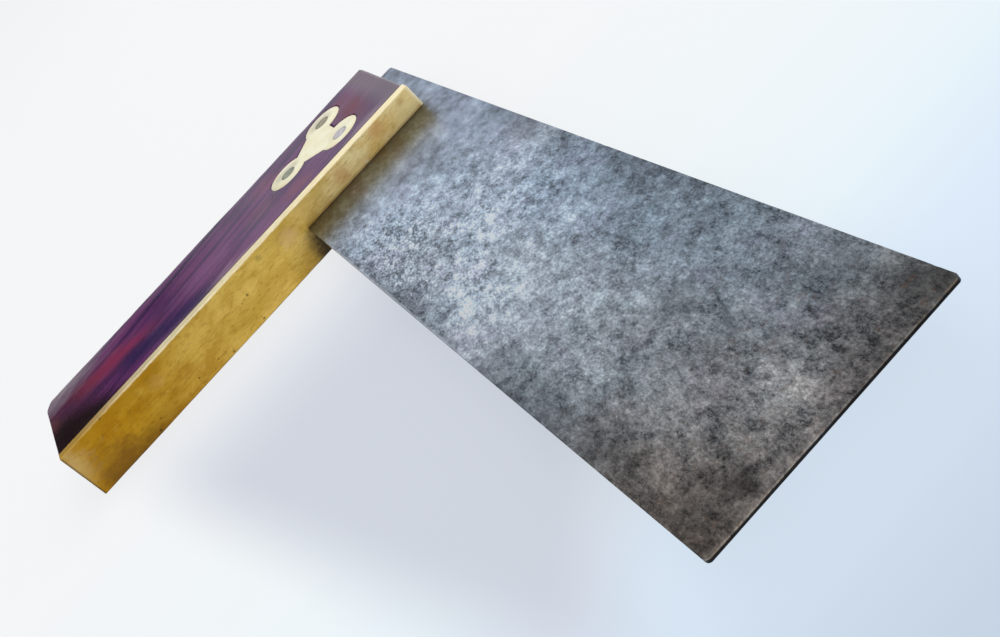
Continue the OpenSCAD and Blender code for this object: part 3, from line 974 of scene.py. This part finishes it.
def build_floor():
    """A pale floor under the square, faintly blue towards the blade's free end, with its soft shadow and a
    painted soft shade between the stock and the blade.
    """
    size = 6000.0
    corners = [(-size, -size), (size, -size), (size, size), (-size, size)]
    mesh = mesh_of("floor", [(x, y, STOCK_LOW[2]) for x, y in corners], [(0, 1, 2, 3)])
    floor = bpy.data.objects.new("floor", mesh)
    bpy.context.scene.collection.objects.link(floor)

    s = Surface("pale_floor")
    tint = s.ramp(s.math("DIVIDE", s.x, 300.0), [
        (0.0, colour(244, 245, 246)), (0.42, colour(239, 245, 248)), (0.58, colour(232, 243, 249)),
        (0.68, colour(220, 234, 249)), (0.76, colour(214, 228, 243)), (0.82, colour(204, 218, 234)),
        (0.88, colour(198, 211, 227)),
    ])
    # Painted shade on the floor between the stock and the blade
    under_blade = s.times(s.span(s.total((s.y, 1.0), (s.x, -0.28)), -98.0, -72.0), s.span(s.y, 50.0, 10.0))
    short_of_end = s.span(s.total((s.x, 1.0), (s.y, 1.5)), 218.0, 156.0)
    shade = s.times(under_blade, s.span(s.x, -20.0, 75.0), short_of_end)
    tint = s.tinted(tint, shade, 0.95, colour(205, 210, 221))
    diffuse = s.tree.nodes.new("ShaderNodeBsdfDiffuse")
    s.feed(diffuse.inputs["Color"], tint)
    glow = s.tree.nodes.new("ShaderNodeEmission")
    s.feed(glow.inputs["Color"], tint)
    blend = s.tree.nodes.new("ShaderNodeMixShader")
    s.feed(blend.inputs[0], s.math("MULTIPLY", seen_directly(s), 0.86))
    s.tree.links.new(diffuse.outputs[0], blend.inputs[1])
    s.tree.links.new(glow.outputs[0], blend.inputs[2])
    output = next(n for n in s.tree.nodes if n.type == "OUTPUT_MATERIAL")
    s.tree.links.new(blend.outputs[0], output.inputs["Surface"])
    paint(floor, s.material)


def mirrored_studio(w):
    """What gloss shows: a pale horizon and a light ceiling. Between them, behind the stock, are a white strip
    and a dim band over it, and a nearly black screen stands to their left."""
    where = w.tree.nodes.new("ShaderNodeTexCoord").outputs["Generated"]
    parts = w.tree.nodes.new("ShaderNodeSeparateXYZ")
    w.tree.links.new(where, parts.inputs[0])
    east, north, up = parts.outputs

    # Height over the horizon, and turn from the direction of -X towards +Y, both in degrees
    height = w.math("MULTIPLY", w.math("ARCSINE", up), 180 / math.pi)
    turn = w.math("MULTIPLY", w.math("ARCTAN2", north, w.math("MULTIPLY", east, -1.0)), 180 / math.pi)
    behind = w.ramp(w.math("DIVIDE", height, 90.0), [
        (0.0, (0.90, 0.92, 0.94, 1)), (8 / 90, (0.60, 0.61, 0.64, 1)), (18.5 / 90, (0.62, 0.64, 0.68, 1)),
        (24 / 90, (0.92, 0.95, 1.0, 1)), (27 / 90, (0.92, 0.96, 1.0, 1)), (33 / 90, (0.56, 0.57, 0.60, 1)),
        (40 / 90, (0.23, 0.22, 0.22, 1)), (50 / 90, (0.28, 0.27, 0.26, 1)), (66 / 90, (0.75, 0.75, 0.76, 1)),
        (1.0, (0.82, 0.82, 0.83, 1)),
    ])
    around = w.ramp(w.math("DIVIDE", height, 90.0), [
        (0.0, (0.95, 0.96, 0.97, 1)), (35 / 90, (0.62, 0.63, 0.65, 1)), (1.0, (0.82, 0.82, 0.83, 1)),
    ])
    mirrored = w.mix(w.span(w.math("ABSOLUTE", turn), 45.0, 85.0), behind, around)
    in_turn = w.times(w.span(turn, 0.5, -5.5), w.span(turn, -75.0, -45.0))
    in_height = w.times(w.span(height, 2.0, 6.0), w.span(height, 60.0, 35.0))
    return w.mix(w.times(in_turn, in_height), mirrored, (0.045, 0.04, 0.045, 1))


def build_world():
    """Even light for matt surfaces, the mirrored studio for gloss, and a pale backdrop for the camera."""
    world = bpy.data.worlds.new("studio")
    bpy.context.scene.world = world
    world.use_nodes = True
    world.cycles.sampling_method = "NONE"
    w = Nodes(world.node_tree)
    path = w.tree.nodes.new("ShaderNodeLightPath")
    look = w.mix(seen_directly(w), (0.72, 0.72, 0.72, 1), mirrored_studio(w))
    look = w.mix(path.outputs["Is Camera Ray"], look, colour(244, 245, 247))
    w.tree.links.new(look, w.tree.nodes["Background"].inputs["Color"])


def add_lamp(name, at, towards, size, power):
    """A square lamp that gloss doesn't show."""
    lamp = bpy.data.lights.new(name, "AREA")
    lamp.shape = "SQUARE"
    lamp.size = size * MM
    lamp.energy = power
    holder = bpy.data.objects.new(name, lamp)
    bpy.context.scene.collection.objects.link(holder)
    holder.location = Vector(at) * MM
    holder.rotation_mode = "QUATERNION"
    holder.rotation_quaternion = (Vector(towards) - Vector(at)).to_track_quat("-Z", "Y")
    holder.visible_glossy = False


def build_camera():
    """The camera, rolled about its line of sight."""
    data = bpy.data.cameras.new("camera")
    data.lens = CAMERA_LENS
    data.sensor_width = SENSOR_WIDTH
    data.sensor_fit = "HORIZONTAL"
    data.clip_start, data.clip_end = 0.01, 30.0
    camera = bpy.data.objects.new("camera", data)
    bpy.context.scene.collection.objects.link(camera)
    sight = (Vector(CAMERA_LOOKS_AT) - Vector(CAMERA_AT)).to_track_quat("-Z", "Y")
    camera.location = Vector(CAMERA_AT) * MM
    camera.rotation_mode = "QUATERNION"
    camera.rotation_quaternion = sight @ Quaternion((0, 0, 1), -math.radians(CAMERA_ROLL))
    bpy.context.scene.camera = camera


# Making

paint(build_stock(), rosewood())
brass = old_brass()
paint(build_facing(), brass)
paint(build_blade(), patinated_steel())
inlay = inlay_brass()
for node in ESCUTCHEONS:
    paint(build_escutcheon(node), inlay)
for node, centre, (dark, light) in zip(RIVETS, RIVET_CENTRES, RIVET_COLOURS):
    paint(build_rivet(node, centre), rivet_steel(node + "_steel", dark, light))
for node in SCREWS + PINS:
    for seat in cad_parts[node].material_slots:
        seat.material = brass

build_floor()
build_world()
for name, at, towards, size, power in LAMPS:
    add_lamp(name, at, towards, size, power)
build_camera()
bpy.context.scene.view_settings.view_transform = "Standard"
